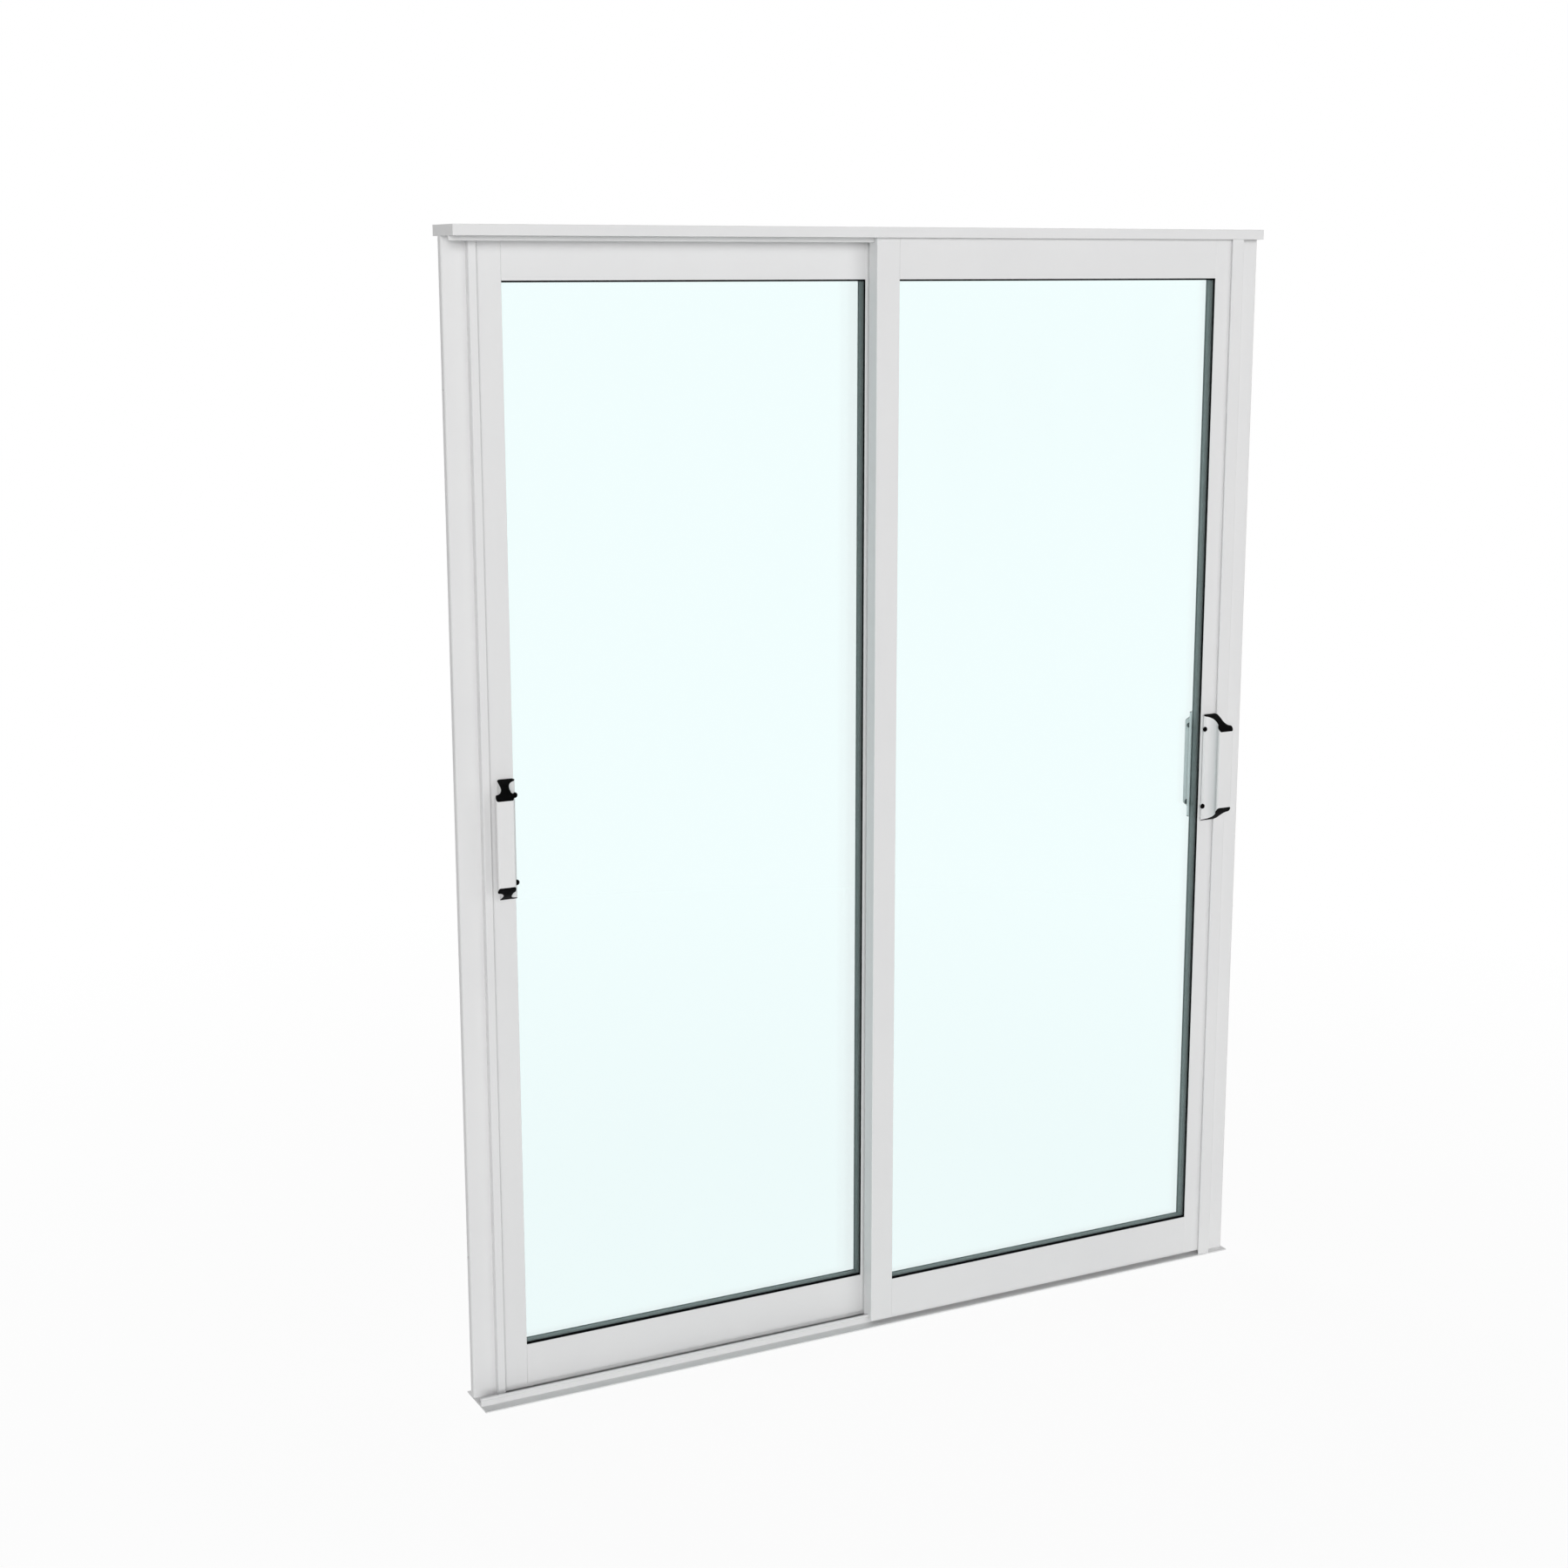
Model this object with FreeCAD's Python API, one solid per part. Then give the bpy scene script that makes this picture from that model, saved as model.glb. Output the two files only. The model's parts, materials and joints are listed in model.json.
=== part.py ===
import FreeCAD
import Part
import os

# Two-panel sliding patio door, all sizes in millimetres.
# X runs along the door, Y from the near side to the far side, Z up from the underside of the sill.
# The right panel runs in the near track. The left panel and left jamb are the right ones turned half round.

# Outer frame
frame_width = 1524.0
frame_height = 1933.0
plate = 2.0                  # sill base and head plate
head_leg_height = 17.0       # outer legs of the head
head_leg_wall = 2.0
head_leg_gap = 0.5           # jamb lip to the leg of the head
guide_rib_height = 24.5      # ribs of the head that keep the panels upright
guide_rib_wall = 4.0
guide_rib_round = 1.0
extrusion_round = 0.8        # small rounding along the long edges
track_height = 14.6          # sill tracks, from the base to the top of the bead
track_wall = 3.2
track_bead = 6.0

# Panels
panel_thickness = 28.0
panel_gap = 15.0             # free space between the two panels
panel_end_gap = 8.5          # panel to sill base and panel to head plate
panel_overlap = 45.0         # how far the closed panels overlap at the middle
lock_stile = 47.8
meeting_stile = 43.0
top_rail = 74.0
bottom_rail = 71.0
wall = 2.0                   # walls of stiles and rails
stile_round = 1.5            # outer edges of the stiles
pocket_depth = 13.0          # glazing pocket
running_gap = 5.0            # free space around whatever slides

# Jambs
jamb_flange_width = 39.5     # from the end of the frame to the pocket
jamb_flange_depth = 15.0
jamb_web = 2.5
jamb_lip = 2.0
jamb_lip_round = 0.9
jamb_web_round = 2.0         # where the lips leave the web
jamb_flange_round = 4.0
jamb_side_gap = 5.5          # closed panel to the floor of the pocket
outer_lip = 24.8             # lip on the panel's own side
inner_lip = 13.3             # lip between the tracks
screw_hole = 5.0             # fixing holes
jamb_hole_inset = 250.0      # from the ends of the jamb
sill_hole_inset = 180.0      # from the ends of the sill

# Glazing
pane = 4.0
gasket_seat = 2.5            # gasket between lip and glass
gasket_show = 2.6            # how far the gasket shows past the lip
gasket_rim = 0.4             # flat rim of the gasket beside the lip
gasket_set_back = 0.4        # gasket behind the face of the lip
edge_cover = 10.0            # glass inside the pocket
gasket_cover = 6.0           # gasket inside the pocket

# Pulls
pull_length = 202.8
pull_height = 962.5          # middle of the pull above the underside of the sill
pull_reach = 40.3
pull_bow = 8.9               # how far each end has curved in at half the reach
pull_drop = 29.1             # and at the tip of the grip
pull_cap = 1.2
pull_foot = 4.8              # the base stands clear of the stile on a foot
pull_foot_inset = 4.0        # foot inside the edges of the base
pull_foot_end = 6.0          # foot inside the ends of the pull
pull_base_inner = 1.0        # base from the glass edge
pull_base_front = 10.8
pull_lip_gap = 0.2           # base to the lip of the jamb behind it
pull_waist_low = 15.4        # glass side of the waist
pull_waist_low_height = 20.0
pull_throat = 16.4           # where the waist meets the grip
pull_throat_height = 32.0
pull_grip = 6.9              # thickness of the grip
pull_grip_inner = 13.4
pull_grip_outer = 44.7

# Rollers and guides
wheel_radius = 12.0
wheel_width = 11.0
wheel_groove = 2.0
wheel_root = 3.0             # flat bottom of the groove
wheel_inset = 90.0           # axle to the side of the rail
axle_radius = 3.0
carrier_length = 62.0        # steel carrier that holds a wheel
carrier_wall = 2.0
carrier_drop = 7.0           # below the axle
run_clearance = 0.3          # wheel to track
guide_length = 30.0
guide_slot_gap = 1.0         # guide block to rib
guide_seat = 14.0            # height of the guide blocks

# Seal between the panels
seal_width = 7.0
seal_reach = 8.0

# Derived places
half_width = frame_width / 2.0
lane = (panel_thickness + panel_gap) / 2.0
half_depth = lane + panel_thickness / 2.0 + running_gap + jamb_lip + head_leg_gap + head_leg_wall
track_top = plate + track_height
panel_bottom = plate + panel_end_gap
panel_top = frame_height - plate - panel_end_gap
panel_height = panel_top - panel_bottom
jamb_face = half_width - jamb_flange_width
pocket_floor = jamb_face - jamb_web
panel_outer = pocket_floor - jamb_side_gap
panel_inner = -panel_overlap / 2.0
glass_outer = panel_outer - lock_stile
glass_inner = panel_inner + meeting_stile
glass_bottom = panel_bottom + bottom_rail
glass_top = panel_top - top_rail
pull_base_outer = jamb_face - outer_lip - glass_outer - pull_lip_gap
near = -lane - panel_thickness / 2.0
far = -lane + panel_thickness / 2.0
glass_near = near + wall + gasket_seat
glass_far = far - wall - gasket_seat


def box(x0, x1, y0, y1, z0, z1):
    return Part.makeBox(x1 - x0, y1 - y0, z1 - z0, FreeCAD.Vector(x0, y0, z0))


def prism(points, direction):
    corners = [FreeCAD.Vector(*p) for p in points]
    wire = Part.makePolygon(corners + corners[:1])
    return Part.Face(wire).extrude(FreeCAD.Vector(*direction))


def join(shapes):
    first = shapes[0]
    return first.fuse(shapes[1:]).removeSplitter() if len(shapes) > 1 else first


def half_turn(shape):
    turned = shape.copy()
    turned.rotate(FreeCAD.Vector(0, 0, 0), FreeCAD.Vector(0, 0, 1), 180)
    return turned


# Rounds the straight edges along one axis that pass through the given spots of the plane across it
def soften(shape, axis, spots, radius):
    across = [k for k in range(3) if k != axis]
    picked = []
    for edge in shape.Edges:
        ends = [v.Point for v in edge.Vertexes]
        for spot in spots:
            if len(ends) == 2 and all(abs(p[k] - s) < 1e-6 for p in ends for k, s in zip(across, spot)):
                picked.append(edge)
    return shape.makeFillet(radius, picked)


def row(first, last, count):
    return [first + (last - first) * k / (count - 1) for k in range(count)]


# Head: a plate with two outer legs and a guide rib over each panel
def make_head():
    z1 = frame_height
    z0 = z1 - plate
    bars = [box(-half_width, half_width, -half_depth, half_depth, z0, z1)]
    for side in (-1, 1):
        y = side * (half_depth - head_leg_wall / 2.0)
        bars.append(box(-half_width, half_width, y - head_leg_wall / 2.0, y + head_leg_wall / 2.0,
                        z1 - head_leg_height, z0))
    rib = box(-half_width, pocket_floor, -lane - guide_rib_wall / 2.0, -lane + guide_rib_wall / 2.0,
              z1 - guide_rib_height, z0)
    tip = z1 - guide_rib_height
    rib = soften(rib, 0, [(-lane - guide_rib_wall / 2.0, tip), (-lane + guide_rib_wall / 2.0, tip)],
                 guide_rib_round)
    head = join(bars + [rib, half_turn(rib)])
    return soften(head, 0, [(side * half_depth, z) for side in (-1, 1) for z in (z1, z1 - head_leg_height)],
                  extrusion_round)


# Sill: a base with one beaded track under each panel
def make_sill():
    base = box(-half_width, half_width, -half_depth, half_depth, 0, plate)
    base = soften(base, 0, [(-half_depth, plate), (half_depth, plate)], extrusion_round)
    length = pocket_floor + half_width
    bead_z = track_top - track_bead / 2.0
    leg = box(-half_width, pocket_floor, -lane - track_wall / 2.0, -lane + track_wall / 2.0,
              plate, bead_z)
    bead = Part.makeCylinder(track_bead / 2.0, length, FreeCAD.Vector(-half_width, -lane, bead_z),
                             FreeCAD.Vector(1, 0, 0))
    sill = join([base, leg, bead, half_turn(leg), half_turn(bead)])
    for x in row(-half_width + sill_hole_inset, half_width - sill_hole_inset, 2):
        sill = sill.cut(Part.makeCylinder(screw_hole / 2.0, plate, FreeCAD.Vector(x, 0, 0)))
    return sill


# Jamb: a hollow flange and a pocket with two lips that the panel closes into
def make_jamb():
    z0 = plate
    z1 = frame_height - plate
    lip_near = near - running_gap - jamb_lip
    lip_far = far + running_gap + jamb_lip
    flange_near = -lane - jamb_flange_depth / 2.0
    flange_far = -lane + jamb_flange_depth / 2.0
    flange = box(jamb_face, half_width, flange_near, flange_far, z0, z1)
    flange = soften(flange, 2, [(half_width, flange_near), (half_width, flange_far)], jamb_flange_round)
    hollow = box(jamb_face, half_width - wall, flange_near + wall, flange_far - wall, z0, z1)
    web = box(pocket_floor, jamb_face, lip_near, lip_far, z0, z1)
    lip_a = box(jamb_face - outer_lip, jamb_face, lip_near, lip_near + jamb_lip, z0, z1)
    lip_b = box(jamb_face - inner_lip, jamb_face, lip_far - jamb_lip, lip_far, z0, z1)
    jamb = join([flange.cut(hollow), web, lip_a, lip_b])
    jamb = soften(jamb, 2, [(jamb_face - outer_lip, lip_near), (jamb_face - inner_lip, lip_far)], jamb_lip_round)
    jamb = soften(jamb, 2, [(jamb_face, lip_near), (jamb_face, lip_far)], jamb_web_round)
    for z in row(z0 + jamb_hole_inset, z1 - jamb_hole_inset, 2):
        drill = Part.makeCylinder(screw_hole / 2.0, half_width - pocket_floor,
                                  FreeCAD.Vector(pocket_floor, -lane, z), FreeCAD.Vector(1, 0, 0))
        jamb = jamb.cut(drill)
    return jamb


# Slots that let the panel pass over the tracks and guide ribs
def track_slot():
    half = track_bead / 2.0 + running_gap
    return box(-frame_width, frame_width, -lane - half, -lane + half,
               panel_bottom, track_top + running_gap)


def guide_slot():
    half = guide_rib_wall / 2.0 + running_gap
    return box(-frame_width, frame_width, -lane - half, -lane + half,
               frame_height - guide_rib_height - running_gap, panel_top)


# Stile: a tube with a glazing pocket towards the glass, notched over the tracks
def make_stile(edge, glass):
    way = 1.0 if glass > edge else -1.0
    floor = glass - way * pocket_depth
    solid = box(min(edge, glass), max(edge, glass), near, far, panel_bottom, panel_top)
    solid = soften(solid, 2, [(edge, near), (edge, far)], stile_round)
    solid = soften(solid, 2, [(glass, near), (glass, far)], extrusion_round)
    inside = sorted((edge + way * wall, floor - way * wall))
    hollow = box(inside[0], inside[1], near + wall, far - wall, panel_bottom, panel_top)
    pocket = box(min(floor, glass), max(floor, glass), near + wall, far - wall,
                 glass_bottom - pocket_depth, glass_top + pocket_depth)
    return solid.cut(hollow).cut(pocket).cut(track_slot()).cut(guide_slot())


# Rails: channels that straddle the track or the guide rib, with a web and a glazing pocket
def soft_rail(z0, z1):
    bar = box(glass_inner, glass_outer, near, far, z0, z1)
    return soften(bar, 0, [(y, z) for y in (near, far) for z in (z0, z1)], extrusion_round)


def rail_web():
    return track_top + run_clearance + 2.0 * wheel_radius + running_gap


def make_bottom_rail():
    web = rail_web()
    floor = glass_bottom - pocket_depth
    solid = soft_rail(panel_bottom, glass_bottom)
    channel = box(glass_inner, glass_outer, near + wall, far - wall, panel_bottom, web)
    hollow = box(glass_inner, glass_outer, near + wall, far - wall, web + wall, floor - wall)
    pocket = box(glass_inner, glass_outer, near + wall, far - wall, floor, glass_bottom)
    return solid.cut(channel).cut(hollow).cut(pocket)


def make_top_rail():
    web = frame_height - guide_rib_height - running_gap
    floor = glass_top + pocket_depth
    solid = soft_rail(glass_top, panel_top)
    channel = box(glass_inner, glass_outer, near + wall, far - wall, web, panel_top)
    hollow = box(glass_inner, glass_outer, near + wall, far - wall, floor + wall, web - wall)
    pocket = box(glass_inner, glass_outer, near + wall, far - wall, glass_top, floor)
    return solid.cut(channel).cut(hollow).cut(pocket)


# Glazing unit: two panes, a dark spacer between them and a wedge gasket on each face
def ring(cover, show, y0, y1):
    outer = box(glass_inner - cover, glass_outer + cover, y0, y1, glass_bottom - cover, glass_top + cover)
    inner = box(glass_inner + show, glass_outer - show, y0, y1, glass_bottom + show, glass_top - show)
    return outer.cut(inner)


def make_pane(y0):
    return box(glass_inner - edge_cover, glass_outer + edge_cover, y0, y0 + pane,
               glass_bottom - edge_cover, glass_top + edge_cover)


def rectangle(inset, y):
    x0 = glass_inner + inset
    x1 = glass_outer - inset
    z0 = glass_bottom + inset
    z1 = glass_top - inset
    return Part.makePolygon([FreeCAD.Vector(x0, y, z0), FreeCAD.Vector(x1, y, z0),
                             FreeCAD.Vector(x1, y, z1), FreeCAD.Vector(x0, y, z1),
                             FreeCAD.Vector(x0, y, z0)])


def make_gasket(face, glass):
    way = 1.0 if glass > face else -1.0
    show = face + way * gasket_set_back
    lip = face + way * wall
    seat = ring(gasket_cover, gasket_show, min(lip, glass), max(lip, glass))
    front = box(glass_inner, glass_outer, min(show, lip), max(show, lip), glass_bottom, glass_top)
    mouth = Part.makeLoft([rectangle(gasket_rim, show), rectangle(gasket_show, glass)], True, True)
    return join([front, seat]).cut(mouth)


# Pull: one extruded section with curved ends and a dark cap on each end
def arc(a, b, c):
    return Part.Arc(a, b, c).toShape()


def line(a, b):
    return Part.LineSegment(a, b).toShape()


def pull_section(face, way):
    def at(across, out):
        return FreeCAD.Vector(glass_outer + across, face + way * out, 0)

    back = pull_reach - pull_grip
    turn = pull_grip / 2.0
    bend = pull_grip_outer - turn - pull_base_outer
    lean = bend * (1.0 - 0.5 ** 0.5)
    tip = (pull_base_front - pull_foot) / 2.0
    a = at(pull_base_inner + tip, pull_foot)
    b = at(pull_base_outer - tip, pull_foot)
    c = at(pull_base_outer, pull_foot + tip)
    d = at(pull_base_outer, back - bend)
    e = at(pull_grip_outer - turn, back)
    f = at(pull_grip_outer - turn, pull_reach)
    g = at(pull_grip_inner + turn, pull_reach)
    h = at(pull_throat, pull_throat_height)
    k = at(pull_base_inner + tip, pull_base_front)
    m = at(pull_base_inner, pull_foot + tip)
    edges = [
        line(a, b),
        line(b, c),
        line(c, d),
        arc(d, at(pull_base_outer + lean, back - lean), e),
        arc(e, at(pull_grip_outer, back + turn), f),
        line(f, g),
        arc(g, at(pull_grip_inner, back + turn), h),
        arc(h, at(pull_waist_low, pull_waist_low_height), k),
        line(k, m),
        line(m, a),
    ]
    return Part.Face(Part.Wire(edges))


# Side view of the pull, as a block as wide as the door
def pull_ends(face, way, trim):
    def at(out, drop, side):
        return FreeCAD.Vector(0, face + way * out, pull_height + side * (pull_length / 2.0 - trim - drop))

    def end(side):
        return at(0, 0, side), at(pull_reach / 2.0, pull_bow, side), at(pull_reach, pull_drop, side)

    top = end(1)
    low = end(-1)
    edges = [line(low[0], top[0]), arc(*top), line(top[2], low[2]), arc(*low)]
    return Part.Face(Part.Wire(edges)).extrude(FreeCAD.Vector(frame_width, 0, 0))


def make_pull(face, way):
    z0 = pull_height - pull_length / 2.0
    z1 = pull_height + pull_length / 2.0
    bar = pull_section(face, way).extrude(FreeCAD.Vector(0, 0, pull_length))
    bar.translate(FreeCAD.Vector(0, 0, z0))
    y = sorted((face, face + way * pull_foot))
    foot = box(glass_outer + pull_base_inner + pull_foot_inset, glass_outer + pull_base_outer - pull_foot_inset,
               y[0], y[1], z0 + pull_foot_end, z1 - pull_foot_end)
    body = join([bar.common(pull_ends(face, way, pull_cap)), foot])
    caps = bar.common(pull_ends(face, way, 0)).cut(pull_ends(face, way, pull_cap))
    return body, caps


# Rollers and their axles
def wheel_centre():
    return track_top + run_clearance + wheel_radius - wheel_groove


def wheel_places():
    return [glass_inner + wheel_inset, glass_outer - wheel_inset]


def pin(x, radius, half):
    return Part.makeCylinder(radius, 2.0 * half, FreeCAD.Vector(x, -lane - half, wheel_centre()),
                             FreeCAD.Vector(0, 1, 0))


def make_rollers():
    wheels = []
    root = wheel_root / 2.0
    for x in wheel_places():
        def at(out, along):
            return (x + out, -lane + along, wheel_centre())

        section = Part.makePolygon([FreeCAD.Vector(*p) for p in (
            at(axle_radius, -wheel_width / 2.0), at(wheel_radius, -wheel_width / 2.0),
            at(wheel_radius - wheel_groove, -root), at(wheel_radius - wheel_groove, root),
            at(wheel_radius, wheel_width / 2.0), at(axle_radius, wheel_width / 2.0),
            at(axle_radius, -wheel_width / 2.0))])
        wheels.append(Part.Face(section).revolve(FreeCAD.Vector(x, -lane, wheel_centre()),
                                                 FreeCAD.Vector(0, 1, 0), 360))
    return Part.makeCompound(wheels)


def make_axles():
    return Part.makeCompound([pin(x, axle_radius, panel_thickness / 2.0 - wall) for x in wheel_places()])


# Carriers: folded steel channels inside the bottom rail, one over each wheel
def make_carriers():
    low = wheel_centre() - carrier_drop
    shells = []
    for x in wheel_places():
        x0 = x - carrier_length / 2.0
        x1 = x + carrier_length / 2.0
        shell = box(x0, x1, near + wall, far - wall, low, rail_web())
        shell = shell.cut(box(x0, x1, near + wall + carrier_wall, far - wall - carrier_wall,
                              low, rail_web() - carrier_wall))
        notch = box(x - axle_radius, x + axle_radius, near + wall, far - wall, low, wheel_centre())
        shells.append(shell.cut(notch).cut(pin(x, axle_radius, panel_thickness / 2.0)))
    return Part.makeCompound(shells)


# Guide blocks that straddle the rib of the head
def make_guides():
    web = frame_height - guide_rib_height - running_gap
    blocks = []
    for x in (glass_inner + guide_length / 2.0, glass_outer - guide_length / 2.0):
        block = box(x - guide_length / 2.0, x + guide_length / 2.0, near + wall, far - wall,
                    web, web + guide_seat)
        half = guide_rib_wall / 2.0 + guide_slot_gap
        slot = box(x - guide_length, x + guide_length, -lane - half, -lane + half,
                   web + running_gap - guide_slot_gap, web + guide_seat)
        blocks.append(block.cut(slot))
    return Part.makeCompound(blocks)


# Seal on the back of the right panel's meeting stile
def make_seal():
    return box(panel_inner + meeting_stile / 2.0 - seal_width / 2.0,
               panel_inner + meeting_stile / 2.0 + seal_width / 2.0,
               far, far + seal_reach, panel_bottom + bottom_rail, panel_top - top_rail)


def make_panel():
    near_pull, near_caps = make_pull(near, -1.0)
    far_pull, far_caps = make_pull(far, 1.0)
    return {
        "lock_stile": make_stile(panel_outer, glass_outer),
        "meeting_stile": make_stile(panel_inner, glass_inner),
        "top_rail": make_top_rail(),
        "bottom_rail": make_bottom_rail(),
        "near_pane": make_pane(glass_near),
        "far_pane": make_pane(glass_far - pane),
        "spacer": ring(edge_cover, gasket_show, glass_near + pane, glass_far - pane),
        "near_gasket": make_gasket(near, glass_near),
        "far_gasket": make_gasket(far, glass_far),
        "near_pull": near_pull,
        "near_pull_caps": near_caps,
        "far_pull": far_pull,
        "far_pull_caps": far_caps,
        "rollers": make_rollers(),
        "axles": make_axles(),
        "carriers": make_carriers(),
        "top_guides": make_guides(),
    }


turned_name = {"near": "rear", "far": "front"}
plain_name = {"near": "front", "far": "rear"}


def named(side, name, words):
    first = name.split("_")[0]
    return side + "_" + name.replace(first, words.get(first, first), 1)


os.makedirs("parts", exist_ok=True)
nodes = {"head": make_head(), "sill": make_sill(), "right_jamb": make_jamb()}
nodes["left_jamb"] = half_turn(nodes["right_jamb"])
for name, shape in make_panel().items():
    nodes[named("right", name, plain_name)] = shape
    nodes[named("left", name, turned_name)] = half_turn(shape)
nodes["left_meeting_seal"] = half_turn(make_seal())
for name, shape in nodes.items():
    shape.exportStep("parts/" + name + ".step")
    print(name, round(shape.Volume / 1000.0, 1), "cm3", shape.isValid())
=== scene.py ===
import json
import math
import random

import bmesh
import bpy
from mathutils import Matrix, Vector


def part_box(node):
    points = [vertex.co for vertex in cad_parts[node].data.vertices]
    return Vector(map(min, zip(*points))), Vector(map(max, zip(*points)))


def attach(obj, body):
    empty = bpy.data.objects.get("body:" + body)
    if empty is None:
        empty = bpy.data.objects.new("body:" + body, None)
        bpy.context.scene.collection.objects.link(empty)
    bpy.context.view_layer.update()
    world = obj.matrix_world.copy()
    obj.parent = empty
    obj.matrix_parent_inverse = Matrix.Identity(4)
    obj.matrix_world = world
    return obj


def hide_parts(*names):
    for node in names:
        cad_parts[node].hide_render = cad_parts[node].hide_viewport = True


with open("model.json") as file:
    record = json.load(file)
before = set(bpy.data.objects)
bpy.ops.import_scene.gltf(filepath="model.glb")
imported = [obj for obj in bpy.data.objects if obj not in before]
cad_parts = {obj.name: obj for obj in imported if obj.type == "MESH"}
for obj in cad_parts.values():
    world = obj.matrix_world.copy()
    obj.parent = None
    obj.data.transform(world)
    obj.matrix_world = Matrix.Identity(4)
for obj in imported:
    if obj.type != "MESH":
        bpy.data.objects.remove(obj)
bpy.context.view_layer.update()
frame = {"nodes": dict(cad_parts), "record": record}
nodes = frame["nodes"]
print("frame loaded:", len(nodes), "nodes")


class Wire:
    # one output socket, so that shader maths reads as plain arithmetic
    def __init__(self, finish, socket):
        self.finish = finish
        self.socket = socket

    def maths(self, operation, first, second):
        return self.finish.add("ShaderNodeMath", {"operation": operation}, {0: first, 1: second})

    def __add__(self, other):
        return self.maths("ADD", self, other)

    def __radd__(self, other):
        return self.maths("ADD", other, self)

    def __sub__(self, other):
        return self.maths("SUBTRACT", self, other)

    def __rsub__(self, other):
        return self.maths("SUBTRACT", other, self)

    def __mul__(self, other):
        return self.maths("MULTIPLY", self, other)

    def __rmul__(self, other):
        return self.maths("MULTIPLY", other, self)

    def __pow__(self, other):
        return self.maths("POWER", self, other)

    def __rpow__(self, other):
        return self.maths("POWER", other, self)

    def most(self, other):
        return self.maths("MAXIMUM", self, other)


class Finish:
    # one node material, or the world, filled in through add()
    def __init__(self, name, world=False):
        self.data = bpy.data.worlds.new(name) if world else bpy.data.materials.new(name)
        self.data.use_nodes = True
        self.nodeTree = self.data.node_tree
        self.nodeTree.nodes.clear()
        self.out = self.nodeTree.nodes.new("ShaderNodeOutputWorld" if world else "ShaderNodeOutputMaterial")

    def add(self, kind, settings=None, sockets=None, output=0):
        node = self.nodeTree.nodes.new(kind)
        for name, value in (settings or {}).items():
            setattr(node, name, value)
        for name, value in (sockets or {}).items():
            spot = node.inputs[name]
            if isinstance(value, Wire):
                self.nodeTree.links.new(value.socket, spot)
            else:
                spot.default_value = (*value, 1.0) if spot.type == "RGBA" and len(value) == 3 else value
        return Wire(self, node.outputs[output])

    def show(self, shader):
        self.nodeTree.links.new(shader.socket, self.out.inputs["Surface"])
        return self.data

    def place(self):  # object space is the shared frame, in metres
        return self.add("ShaderNodeTexCoord", output="Object")

    def stretch(self, scale):
        return self.add("ShaderNodeMapping", {}, {"Vector": self.place(), "Scale": scale})

    def noise(self, scale, detail, rough, where=None):
        return self.add("ShaderNodeTexNoise", {}, {"Vector": where or self.place(), "Scale": scale,
                                                   "Detail": detail, "Roughness": rough})

    def span(self, value, ends):
        return self.add("ShaderNodeMapRange", {"clamp": True},
                        {"Value": value, "From Min": ends[0], "From Max": ends[1]})

    def tint(self, mask, first, second):
        return self.add("ShaderNodeMix", {"data_type": "RGBA"}, {0: mask, 6: first, 7: second}, 2)

    def bump(self, height, look):
        return self.add("ShaderNodeBump", {}, {"Height": height, "Strength": look["bump"], "Distance": look["depth"]})

    def principled(self, sockets):
        return self.add("ShaderNodeBsdfPrincipled", {}, sockets)


powderCoat = {"base": (0.80, 0.80, 0.80), "shade": (0.765, 0.765, 0.77), "rough": 0.42, "gloss": 0.35,
              "coat": 0.12, "coatRough": 0.3, "peelScale": 900.0, "cloudScale": 3.2, "cloudSpan": (0.35, 0.7),
              "lineAlong": 4.0, "lineAcross": 1500.0, "cloudShare": 0.7, "peelShare": 0.7,
              "cloudRough": 0.12, "lineRough": 0.1, "bump": 0.10, "depth": 0.0003}


def makePowderCoat(name, look, along):
    # satin white enamel on drawn metal: orange peel, faint draw lines along the section, slight rub marks
    f = Finish(name)
    peel = f.noise(look["peelScale"], 1.0, 0.55)
    cloud = f.noise(look["cloudScale"], 3.0, 0.6)
    lineScale = tuple(look["lineAlong"] if k == along else look["lineAcross"] for k in range(3))
    lines = f.noise(1.0, 2.0, 0.5, f.stretch(lineScale))
    drift = f.span(cloud, look["cloudSpan"]) * look["cloudShare"] + lines * (1.0 - look["cloudShare"])
    rough = look["rough"] + (cloud - 0.5) * look["cloudRough"] + (lines - 0.5) * look["lineRough"]
    height = peel * look["peelShare"] + lines * (1.0 - look["peelShare"])
    return f.show(f.principled({
        "Base Color": f.tint(drift, look["base"], look["shade"]), "Roughness": rough, "Metallic": 0.0,
        "Coat Weight": look["coat"], "Coat Roughness": look["coatRough"], "Specular IOR Level": look["gloss"],
        "Normal": f.bump(height, look)}))


glazing = {"mirror": (0.75, 0.97, 0.96), "pass": (0.979, 1.0, 1.0), "share": 0.042, "slant": 0.6, "slantPower": 5.0,
           "smearScale": 4.0, "smearStretch": (1.0, 1.0, 0.4), "smearSpan": (0.5, 0.8), "smearShare": 0.003,
           "rough": 0.02, "smearRough": 0.06}


def makeGlass(look):
    # clear float glass, faint cyan: each face mirrors a little, more at a slant, with barely seen smears
    f = Finish("floatGlass")
    smear = f.span(f.noise(look["smearScale"], 3.0, 0.65, f.stretch(look["smearStretch"])), look["smearSpan"])
    slant = f.add("ShaderNodeLayerWeight", {}, {"Blend": 0.5}, "Facing")
    share = look["share"] + (slant ** look["slantPower"]) * look["slant"] + smear * look["smearShare"]
    clear = f.add("ShaderNodeBsdfTransparent", {}, {"Color": look["pass"]})
    film = f.principled({"Base Color": look["mirror"], "Metallic": 1.0,
                         "Roughness": look["rough"] + smear * look["smearRough"]})
    f.data.surface_render_method = "BLENDED"
    return f.show(f.add("ShaderNodeMixShader", {}, {0: share, 1: clear, 2: film}))


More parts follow.
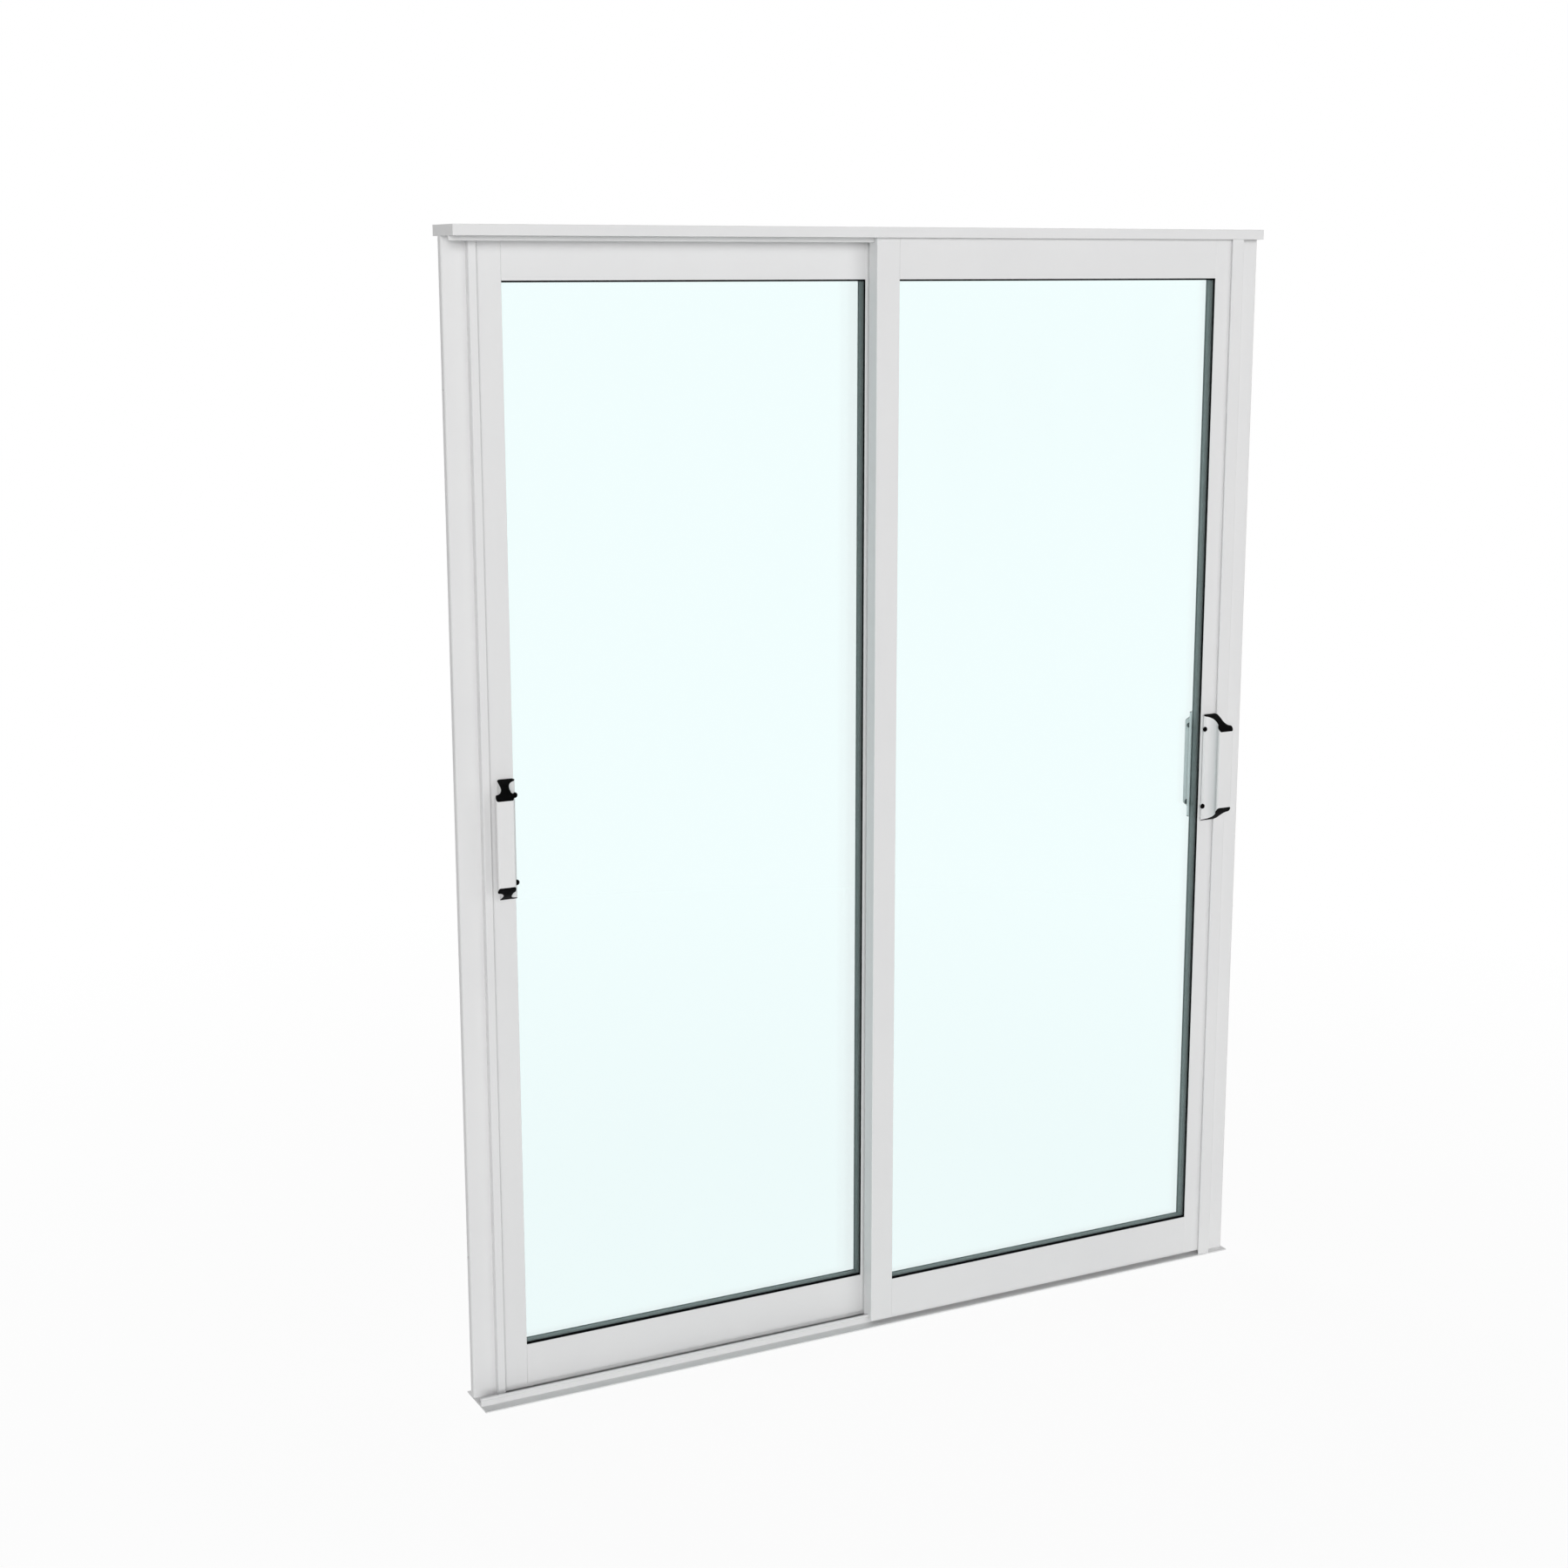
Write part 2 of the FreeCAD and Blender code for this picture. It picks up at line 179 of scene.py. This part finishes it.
rubber = {"base": (0.0016, 0.0016, 0.0020), "bloom": (0.0040, 0.0040, 0.0045), "rough": 0.62, "gloss": 0.03,
          "grain": 1800.0}
spacerTube = {"base": (0.148, 0.168, 0.165), "bloom": (0.190, 0.210, 0.207), "rough": 0.5, "gloss": 0.2,
              "grain": 700.0}
endCap = {"base": (0.0013, 0.0013, 0.0014), "bloom": (0.0030, 0.0030, 0.0030), "rough": 0.55, "gloss": 0.03,
          "grain": 1200.0}
dullSkin = {"bloomScale": 38.0, "bloomSpan": (0.45, 0.75), "bloomShare": 0.6, "bloomRough": 0.12, "skinRough": 0.1,
            "bump": 0.15, "depth": 0.0002}


def makeRubber(name, look, skin):
    # extruded rubber or plastic with a dull bloom and fine grain
    f = Finish(name)
    bloom = f.span(f.noise(skin["bloomScale"], 4.0, 0.6), skin["bloomSpan"])
    grain = f.noise(look["grain"], 3.0, 0.6)
    rough = look["rough"] + bloom * skin["bloomRough"] + (grain - 0.5) * skin["skinRough"]
    return f.show(f.principled({
        "Base Color": f.tint(bloom * skin["bloomShare"], look["base"], look["bloom"]), "Roughness": rough,
        "Specular IOR Level": look["gloss"], "Normal": f.bump(grain, skin)}))


moulded = {"base": (0.045, 0.046, 0.048), "pale": (0.075, 0.075, 0.078), "worn": (0.16, 0.16, 0.16), "rough": 0.5,
           "mottleScale": 120.0, "scuffScale": 420.0, "scuffStretch": (1.0, 0.15, 1.0), "scuffSpan": (0.55, 0.72),
           "scuffShare": 0.4, "scuffRough": 0.15, "bump": 0.2, "depth": 0.0002}


def makeNylon(look):
    # grey moulded nylon, slightly mottled, scuffed where it runs
    f = Finish("rollerNylon")
    mottle = f.noise(look["mottleScale"], 4.0, 0.6)
    scuff = f.span(f.noise(look["scuffScale"], 2.0, 0.5, f.stretch(look["scuffStretch"])), look["scuffSpan"])
    colour = f.tint(mottle, look["base"], look["pale"])
    return f.show(f.principled({
        "Base Color": f.tint(scuff * look["scuffShare"], colour, look["worn"]),
        "Roughness": look["rough"] + scuff * look["scuffRough"], "Normal": f.bump(mottle, look)}))


plated = {"base": (0.52, 0.52, 0.53), "dull": (0.30, 0.30, 0.31), "rough": 0.32, "spangleScale": 190.0,
          "drawnStretch": (60.0, 1400.0, 1400.0), "spangleShare": 0.5, "drawnShare": 0.3, "spangleRough": 0.12,
          "bump": 0.08, "depth": 0.0002}


def makeSteel(look):
    # zinc plated steel: drawn lines and a grey spangle
    f = Finish("platedSteel")
    drawn = f.noise(1.0, 2.0, 0.5, f.stretch(look["drawnStretch"]))
    spangle = f.add("ShaderNodeTexVoronoi", {}, {"Vector": f.place(), "Scale": look["spangleScale"]}, "Color")
    grey = f.add("ShaderNodeSeparateColor", {}, {"Color": spangle})
    dulled = grey * look["spangleShare"] + drawn * look["drawnShare"]
    return f.show(f.principled({
        "Base Color": f.tint(dulled, look["base"], look["dull"]), "Metallic": 1.0,
        "Roughness": look["rough"] + grey * look["spangleRough"], "Normal": f.bump(drawn, look)}))


brushPile = {"base": (0.030, 0.030, 0.031), "tip": (0.085, 0.085, 0.088), "rough": 0.85, "sheen": 0.3,
             "strandStretch": (900.0, 30.0, 900.0), "bump": 0.4, "depth": 0.0004}


def makePile(look):
    # grey pile, paler at the tips
    f = Finish("sealPile")
    strand = f.noise(1.0, 3.0, 0.6, f.stretch(look["strandStretch"]))
    return f.show(f.principled({
        "Base Color": f.tint(strand, look["base"], look["tip"]), "Roughness": look["rough"],
        "Sheen Weight": look["sheen"], "Normal": f.bump(strand, look)}))


whiteUpright = makePowderCoat("whiteUpright", powderCoat, 2)
whiteLevel = makePowderCoat("whiteLevel", powderCoat, 0)
floatGlass = makeGlass(glazing)
gasketRubber = makeRubber("gasketRubber", rubber, dullSkin)
spacerBar = makeRubber("spacerBar", spacerTube, dullSkin)
capPlastic = makeRubber("capPlastic", endCap, dullSkin)
rollerNylon = makeNylon(moulded)
platedSteel = makeSteel(plated)
sealPile = makePile(brushPile)
print("finishes made")

slotFinish = {"glass": floatGlass, "spacer": spacerBar, "gasket": gasketRubber, "cap": capPlastic,
              "nylon": rollerNylon, "steel": platedSteel, "seal": sealPile, "pull": whiteUpright}
levelNodes = ("head", "sill", "top_rail", "bottom_rail")
for part in frame["record"]["subparts"]:
    cad = nodes[part["node"]]
    coat = slotFinish.get(part["material_slot"])
    if coat is None:  # frame and sash: the draw lines run along the section
        coat = whiteLevel if cad.name.endswith(levelNodes) else whiteUpright
    cad.data.materials.clear()
    cad.data.materials.append(coat)
print("finishes set on", len(nodes), "nodes")

panelBody = {"left": "frame", "right": "sliding_panel"}


def newPiece(name, build, coat, body):
    mesh = bpy.data.meshes.new(name)
    bm = bmesh.new()
    build(bm)
    bmesh.ops.recalc_face_normals(bm, faces=bm.faces)
    bm.to_mesh(mesh)
    bm.free()
    piece = bpy.data.objects.new(name, mesh)
    bpy.context.scene.collection.objects.link(piece)
    mesh.materials.append(coat)
    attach(piece, body)
    return piece


def joinLoops(bm, loops):
    # quads between neighbouring loops of points
    for first, second in zip(loops, loops[1:]):
        for k in range(len(first)):
            m = (k + 1) % len(first)
            bm.faces.new((first[k], first[m], second[m], second[k]))


def lathe(bm, profile, steps, matrix):
    # turns (radius, height) points into rings and joins them, from a point on the axis outwards
    tip = bm.verts.new(matrix @ Vector((0.0, 0.0, profile[0][1])))
    rings = [[bm.verts.new(matrix @ Vector((radius * math.cos(a), radius * math.sin(a), height)))
              for a in (2 * math.pi * k / steps for k in range(steps))] for radius, height in profile[1:]]
    for k in range(steps):
        bm.faces.new((tip, rings[0][(k + 1) % steps], rings[0][k]))
    joinLoops(bm, rings)
    return rings


pullScrew = {"radius": 0.00465, "height": 0.0018, "inset": 0.0022, "spacing": 0.14488, "middle": 0.96323,
             "flange": 0.0102, "socket": 0.0019, "socketDepth": 0.0011, "collar": 0.35, "crown": 0.55,
             "foot": 0.9, "sink": 0.0004, "sides": 6, "sideSteps": 6}


def addScrew(bm, matrix, look):
    # low button head with a six-sided socket
    r, h, sides, sideSteps = look["radius"], look["height"], look["sides"], look["sideSteps"]
    collar, crown, steps = look["collar"], look["crown"], sides * sideSteps
    profile = [(0.0, -look["sink"]), (r * look["foot"], -look["sink"]), (r, 0.0), (r, h * collar)]
    profile += [(r * (crown + (1.0 - crown) * math.cos(a)), h * (collar + (1.0 - collar) * math.sin(a)))
                for a in (math.pi / 2 * k / 6 for k in range(1, 7))]
    rim = lathe(bm, profile, steps, matrix)[-1]
    corner, floor = ([bm.verts.new(matrix @ Vector((look["socket"] * math.cos(a), look["socket"] * math.sin(a), z)))
                      for a in (2 * math.pi * k / sides for k in range(sides))] for z in (h, h - look["socketDepth"]))
    for k in range(sides):
        m = (k + 1) % sides
        bm.faces.new([corner[k], corner[m]] + [rim[(sideSteps * m - j) % steps] for j in range(sideSteps + 1)])
        bm.faces.new([corner[k], corner[m], floor[m], floor[k]])
    bm.faces.new(floor)


def buildScrews(bm, look, side, face):
    low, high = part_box(f"{side}_lock_stile")
    way = -1.0 if face == "front" else 1.0
    glassEdge, inward = (low.x, 1.0) if side == "right" else (high.x, -1.0)  # side of the stile towards the glass
    plane = (low.y if face == "front" else high.y) + way * look["flange"]
    turn = Vector((0.0, way, 0.0)).to_track_quat("Z", "X").to_matrix().to_4x4()
    for end in (-0.5, 0.5):
        spot = Vector((glassEdge + inward * look["inset"], plane, look["middle"] + end * look["spacing"]))
        addScrew(bm, Matrix.Translation(spot) @ turn, look)


for side in ("left", "right"):
    for face in ("front", "rear"):
        newPiece(f"{side}{face.capitalize()}PullScrews", lambda bm: buildScrews(bm, pullScrew, side, face),
                 capPlastic, panelBody[side])
print("pull screws")


glazingGasket = {"sideShow": {"front": 0.00115, "rear": 0.0014}, "endShow": {"front": 0.0029, "rear": 0.0026},
                 "setBack": 0.0010, "lip": 0.0020, "glass": 0.0045, "cover": 0.0060, "tape": 0.0003,
                 "slack": 0.00002,
                 "curve": ((0.14, 1.3), (0.40, 2.0), (0.72, 3.0), (0.93, 3.7), (1.0, 4.0))}  # show, set back


def sweepRing(bm, low, high, profile):
    # closed section carried round the glass opening with mitred corners; profile is (x inset, z inset, y)
    loops = []
    for insetX, insetZ, y in profile:
        loops.append([bm.verts.new((x, y, z)) for x, z in (
            (low.x + insetX, low.z + insetZ), (high.x - insetX, low.z + insetZ),
            (high.x - insetX, high.z - insetZ), (low.x + insetX, high.z - insetZ))])
    joinLoops(bm, loops + loops[:1])


def glassOpening(side):
    # the clear opening between the stiles and rails of one panel
    stiles = [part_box(f"{side}_{name}") for name in ("lock_stile", "meeting_stile")]
    stiles.sort(key=lambda box: box[0].x)
    bottom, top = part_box(f"{side}_bottom_rail"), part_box(f"{side}_top_rail")
    low = Vector((stiles[0][1].x, stiles[0][0].y, bottom[1].z))
    high = Vector((stiles[1][0].x, stiles[0][1].y, top[0].z))
    return low, high


def addGasket(side, face, look):
    # bulb gasket on a thin grey glazing tape, both shut in between the lip and the pane
    low, high = glassOpening(side)
    plane, way = (low.y, 1.0) if face == "front" else (high.y, -1.0)
    tapeAt, paneAt, cover = look["glass"] - look["tape"], look["glass"] - look["slack"], -look["cover"]

    def hidden(inset, depth):  # the same inset on all four sides
        return inset, inset, plane + way * depth

    def shown(share, depth):  # wider at the top and bottom than at the sides
        return share * look["sideShow"][face], share * look["endShow"][face], plane + way * depth

    bulb = [hidden(cover, tapeAt), hidden(cover, look["lip"]), hidden(0.0, look["lip"]), hidden(0.0, look["setBack"])]
    bulb += [shown(share, look["setBack"] * back) for share, back in look["curve"]] + [shown(1.0, tapeAt)]
    tape = [hidden(cover, tapeAt), shown(1.0, tapeAt), shown(1.0, paneAt), hidden(cover, paneAt)]
    title, body = side + face.capitalize(), panelBody[side]
    strip = newPiece(title + "BulbGasket", lambda bm: sweepRing(bm, low, high, bulb), gasketRubber, body)
    newPiece(title + "GlazingTape", lambda bm: sweepRing(bm, low, high, tape), spacerBar, body)
    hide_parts(f"{side}_{face}_gasket")


for side in ("left", "right"):
    for face in ("front", "rear"):
        addGasket(side, face, glazingGasket)
print("glazing gaskets")


headPlate = {"thick": 0.0008, "height": 0.0170, "edge": 0.0003}


def buildPlate(bm, look, x, way, low, high):
    # thin cover over the open end of the head, with its outer edges eased
    z0, z1 = high.z - look["height"], high.z
    rows = [(0.0, 0.0), (look["thick"] - look["edge"], 0.0), (look["thick"], look["edge"])]
    loops = [[bm.verts.new((x + way * out, y, z)) for y, z in (
        (low.y + ease, z0 + ease), (high.y - ease, z0 + ease),
        (high.y - ease, z1 - ease), (low.y + ease, z1 - ease))] for out, ease in rows]
    joinLoops(bm, loops)
    bm.faces.new(loops[0])
    bm.faces.new(loops[-1])


headLow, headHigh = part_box("head")
for side, x, way in (("left", headLow.x, -1.0), ("right", headHigh.x, 1.0)):
    newPiece(side + "HeadPlate", lambda bm: buildPlate(bm, headPlate, x, way, headLow, headHigh),
             whiteUpright, "frame")
print("head end plates")


def roundedSection(inset, wide, turns, root, tip):
    # points of a strip from its root to a round tip, as (across, along)
    half = wide / 2
    reach = tip - half if tip > root else tip + half
    bulge = half if tip > root else -half
    return [(inset, root)] + [(inset + half - half * math.cos(a), reach + bulge * math.sin(a))
                              for a in (math.pi * k / turns for k in range(turns + 1))] + [(inset + wide, root)]


def addStrip(bm, ends):
    joinLoops(bm, ends)
    bm.faces.new(ends[0])
    bm.faces.new(ends[1][::-1])


lipBead = {"lip": 0.0020, "reach": 0.0045, "inset": 0.0012, "wide": 0.0040, "ends": 0.004, "turns": 10}


def buildBead(bm, look, side):
    # rounded bead behind the long lip of the jamb, just clear of the panel
    low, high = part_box(f"{side}_jamb")
    edge, inward, plane, way = ((low.x, 1.0, low.y + look["lip"], 1.0) if side == "right" else
                                (high.x, -1.0, high.y - look["lip"], -1.0))
    section = roundedSection(look["inset"], look["wide"], look["turns"], 0.0, look["reach"])
    addStrip(bm, [[bm.verts.new((edge + inward * u, plane + way * out, z)) for u, out in section]
                  for z in (low.z + look["ends"], high.z - look["ends"])])


for side in ("left", "right"):
    newPiece(side + "LipBead", lambda bm: buildBead(bm, lipBead, side), whiteUpright, "frame")
print("lip beads")


slotPlug = {"thick": 0.0012, "inset": 0.0003, "clear": 0.0008, "trackHalf": 0.0030, "ribHalf": 0.0020,
            "gap": 0.0050, "steps": 12}


def addPlug(bm, look, face, way, middle, openEnd, closedEnd, rider, riderTip):
    # plate that shuts the slot of a stile, with a round mouth for the track or rib it runs on
    turn = 1.0 if closedEnd > openEnd else -1.0
    half, hole = rider + look["gap"], rider + look["clear"]
    centre = riderTip + turn * (look["clear"] - hole)
    rise = abs(closedEnd - centre)
    corner = math.atan2(rise, half)
    angles = [math.pi * k / look["steps"] for k in range(look["steps"] + 1)] + [corner, math.pi - corner]
    inner, outer = [(hole, openEnd)], [(half, openEnd)]
    for a in sorted(angles):
        reach = min(half / max(abs(math.cos(a)), 1e-6), rise / max(math.sin(a), 1e-6))
        inner.append((hole * math.cos(a), centre + turn * hole * math.sin(a)))
        outer.append((reach * math.cos(a), centre + turn * reach * math.sin(a)))
    inner.append((-hole, openEnd))
    outer.append((-half, openEnd))
    near, far = face + way * look["inset"], face + way * (look["inset"] + look["thick"])
    rows = [[bm.verts.new((x, middle + y, z)) for y, z in path]
            for x, path in ((near, outer), (near, inner), (far, inner), (far, outer))]
    for first, second in zip(rows, rows[1:] + rows[:1]):
        for k in range(len(inner) - 1):
            bm.faces.new((first[k], first[k + 1], second[k + 1], second[k]))
    for k in (0, -1):
        bm.faces.new([row[k] for row in rows])


def buildPlugs(bm, look, side):
    trackTop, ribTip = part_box("sill")[1].z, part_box("head")[0].z
    for stile in ("lock_stile", "meeting_stile"):
        low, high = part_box(f"{side}_{stile}")
        face, way = (high.x, -1.0) if (side == "right") == (stile == "lock_stile") else (low.x, 1.0)
        middle = (low.y + high.y) / 2
        addPlug(bm, look, face, way, middle, low.z, trackTop + look["gap"], look["trackHalf"], trackTop)
        addPlug(bm, look, face, way, middle, high.z, ribTip - look["gap"], look["ribHalf"], ribTip)


for side in ("left", "right"):
    newPiece(side + "SlotPlugs", lambda bm: buildPlugs(bm, slotPlug, side), whiteUpright, panelBody[side])
print("slot plugs")


railSkirt = {"thick": 0.0016, "inset": 0.0001, "ends": 0.0010, "turns": 6, "innerDrop": 0.0055, "outerDrop": 0.0025}


def buildSkirts(bm, look, side):
    # strips under the walls of the bottom rail, lower on the side towards the other panel
    boxes = [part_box(f"{side}_{stile}") for stile in ("lock_stile", "meeting_stile")]
    start = min(box[0].x for box in boxes) + look["ends"]
    end = max(box[1].x for box in boxes) - look["ends"]
    low, high = boxes[0]
    drops = [look["innerDrop"], look["outerDrop"]]
    if side == "right":
        drops.reverse()
    for plane, inward, drop in ((low.y, 1.0, drops[0]), (high.y, -1.0, drops[1])):
        section = roundedSection(look["inset"], look["thick"], look["turns"], low.z, low.z - drop)
        addStrip(bm, [[bm.verts.new((x, plane + inward * y, z)) for y, z in section] for x in (start, end)])


for side in ("left", "right"):
    newPiece(side + "RailSkirts", lambda bm: buildSkirts(bm, railSkirt, side), whiteLevel, panelBody[side])
print("rail skirts")


sealTufts = {"pitch": 0.0036, "rows": 3, "base": 0.0016, "thick": 0.0019, "seed": 7, "ends": 0.002, "eased": 0.0004,
             "stray": 0.0004, "shortest": 0.82, "leanAcross": 0.0008, "leanAlong": 0.001, "sink": 0.0002,
             "taper": 0.55}


def buildTufts(bm, look, low, high):
    # a woven backing with rows of leaning tufts, from the near panel side of the box outwards
    rng = random.Random(look["seed"])
    backing = high.y - look["base"]
    middle = Vector(((low.x + high.x) / 2, high.y - look["base"] / 2, (low.z + high.z) / 2))
    bmesh.ops.create_cube(bm, size=1.0, matrix=Matrix.Translation(middle) @ Matrix.Diagonal(
        (high.x - low.x, look["base"], high.z - low.z, 1.0)))
    bmesh.ops.bevel(bm, geom=bm.edges[:], offset=look["eased"], segments=2, affect="EDGES")
    count = int((high.z - low.z - 2 * look["ends"]) / look["pitch"])
    half = look["thick"] / 2
    for line in range(look["rows"]):
        x0 = low.x + (high.x - low.x) * (line + 0.5) / look["rows"]
        for k in range(count):
            z0 = low.z + look["ends"] + (k + 0.5 * (line % 2)) * look["pitch"]
            z0 += rng.uniform(-look["stray"], look["stray"])
            reach = (backing - low.y) * rng.uniform(look["shortest"], 1.0)
            lean = Vector((rng.uniform(-look["leanAcross"], look["leanAcross"]), -reach,
                           rng.uniform(-look["leanAlong"], look["leanAlong"])))
            foot = [bm.verts.new((x0 + dx * half, backing + look["sink"], z0 + dz * half))
                    for dx, dz in ((-1, -1), (1, -1), (1, 1), (-1, 1))]
            tip = [bm.verts.new(v.co + lean) for v in foot]
            centre = sum((v.co for v in tip), Vector()) / 4
            for v in tip:
                v.co = centre + (v.co - centre) * look["taper"]
            joinLoops(bm, [foot, tip])
            bm.faces.new(tip)
            bm.faces.new(foot[::-1])


sealLow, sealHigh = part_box("left_meeting_seal")
meetingPile = newPiece("meetingPile", lambda bm: buildTufts(bm, sealTufts, sealLow, sealHigh),
                       sealPile, "frame")
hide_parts("left_meeting_seal")
print("meeting pile", len(meetingPile.data.polygons), "faces")


viewpoint = {"place": (-2.0695, -3.6703, 1.8627), "yaw": 27.253, "pitch": 11.720, "roll": -0.090, "lens": 56.79,
             "sensor": 36.0, "near": 0.05, "far": 200.0}


def addCamera(look):
    yaw, pitch, roll = (math.radians(look[k]) for k in ("yaw", "pitch", "roll"))
    ahead = Vector((math.sin(yaw) * math.cos(pitch), math.cos(yaw) * math.cos(pitch), -math.sin(pitch)))
    level = Vector((math.cos(yaw), -math.sin(yaw), 0.0))
    right = level * math.cos(roll) + level.cross(ahead) * math.sin(roll)
    up = right.cross(ahead)
    cam = bpy.data.objects.new("photoView", bpy.data.cameras.new("photoView"))
    cam.data.lens, cam.data.sensor_width = look["lens"], look["sensor"]
    cam.data.clip_start, cam.data.clip_end = look["near"], look["far"]
    cam.matrix_world = Matrix((right, up, -ahead)).transposed().to_4x4()
    cam.location = look["place"]
    bpy.context.scene.collection.objects.link(cam)
    bpy.context.scene.camera = cam


studio = {"sky": 0.17, "white": (1.0, 1.0, 1.0), "aim": (0.0, 0.0, 1.0),
          "lamps": {"keySoft": (5150.0, 13.0, (-13.6, -26.7, 7.0)), "fillSoft": (165.0, 6.0, (4.0, -9.0, 3.6)),
                    "rearSoft": (850.0, 8.0, (0.0, 11.5, 4.1)), "farSoft": (420.0, 8.0, (11.2, 3.4, 3.6))}}
paper = {"base": (0.88, 0.88, 0.88), "fleck": (0.84, 0.84, 0.84), "fleckScale": 300.0, "fleckShare": 0.1,
         "shadow": 0.06, "shadowSpan": (1.0, 3.2), "half": 60.0, "cells": 8}


def seenRays(f):
    # 1 where the camera, a reflection or a pane looks at the surface, 0 for the light it gives
    camera, gloss, through = (f.add("ShaderNodeLightPath", output=name)
                              for name in ("Is Camera Ray", "Is Glossy Ray", "Is Transmission Ray"))
    return camera.most(gloss).most(through)


def makeFloor(look, white):
    # pale paper that shows white, and near the object keeps a little of its shadow
    f = Finish("paleFloor")
    away = f.span(f.add("ShaderNodeVectorMath", {"operation": "LENGTH"}, {0: f.place()}, "Value"), look["shadowSpan"])
    fleck = f.noise(look["fleckScale"], 3.0, 0.6)
    colour = f.tint(fleck * look["fleckShare"], look["base"], look["fleck"])
    matt = f.add("ShaderNodeBsdfDiffuse", {}, {"Color": colour})
    glow = f.add("ShaderNodeEmission", {}, {"Color": white, "Strength": 1.0})
    share = seenRays(f) * (1.0 - look["shadow"] + away * look["shadow"])
    return f.show(f.add("ShaderNodeMixShader", {}, {0: share, 1: matt, 2: glow}))


def addFloor(look, white):
    mesh = bpy.data.meshes.new("paleFloor")
    bm = bmesh.new()
    bmesh.ops.create_grid(bm, x_segments=look["cells"], y_segments=look["cells"], size=look["half"])
    bm.to_mesh(mesh)
    bm.free()
    floor = bpy.data.objects.new("paleFloor", mesh)
    mesh.materials.append(makeFloor(look, white))
    bpy.context.scene.collection.objects.link(floor)


def addLights(look):
    scene = bpy.context.scene
    sky = Finish("whiteSurround", True)
    strength = look["sky"] + seenRays(sky) * (1.0 - look["sky"])
    scene.world = sky.show(sky.add("ShaderNodeBackground", {}, {"Color": look["white"], "Strength": strength}))
    for name, (power, size, place) in look["lamps"].items():
        lamp = bpy.data.objects.new(name, bpy.data.lights.new(name, "AREA"))
        lamp.data.energy, lamp.data.size = power, size
        lamp.location = place
        lamp.visible_glossy = False  # the panes mirror the white surround, not the lamps
        lamp.rotation_mode = "QUATERNION"
        lamp.rotation_quaternion = (Vector(look["aim"]) - Vector(place)).to_track_quat("-Z", "Y")
        scene.collection.objects.link(lamp)
    scene.view_settings.view_transform = "Standard"


addCamera(viewpoint)
addFloor(paper, studio["white"])
addLights(studio)
print("camera and studio")
